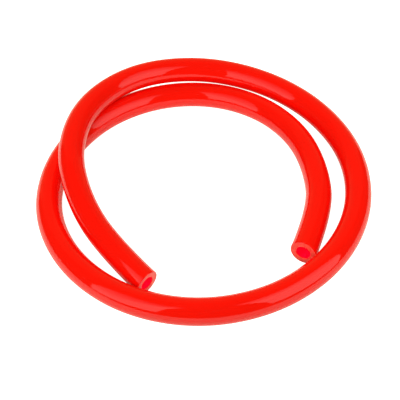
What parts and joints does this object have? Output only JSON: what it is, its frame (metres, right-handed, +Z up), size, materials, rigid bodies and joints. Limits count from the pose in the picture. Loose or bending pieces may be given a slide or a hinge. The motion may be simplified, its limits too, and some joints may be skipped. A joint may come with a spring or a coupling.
{
  "type": "rubber vacuum tubing",
  "caption": "Length of glossy red rubber vacuum tubing with an open bore and plain square-cut ends, lying loosely coiled and crossing over itself.",
  "frame": {"origin": "middle of the coil's box, on the surface it lies on", "axes": "+Z up off the surface, +Y to the back of the coil and +X to the right, with both cut ends towards the front"},
  "size_m": [0.1156, 0.1167, 0.0186],
  "materials": {
    "rubber": "glossy"
  },
  "bodies": {
    "root": {"tubing": "rubber"}
  },
  "joints": []
}
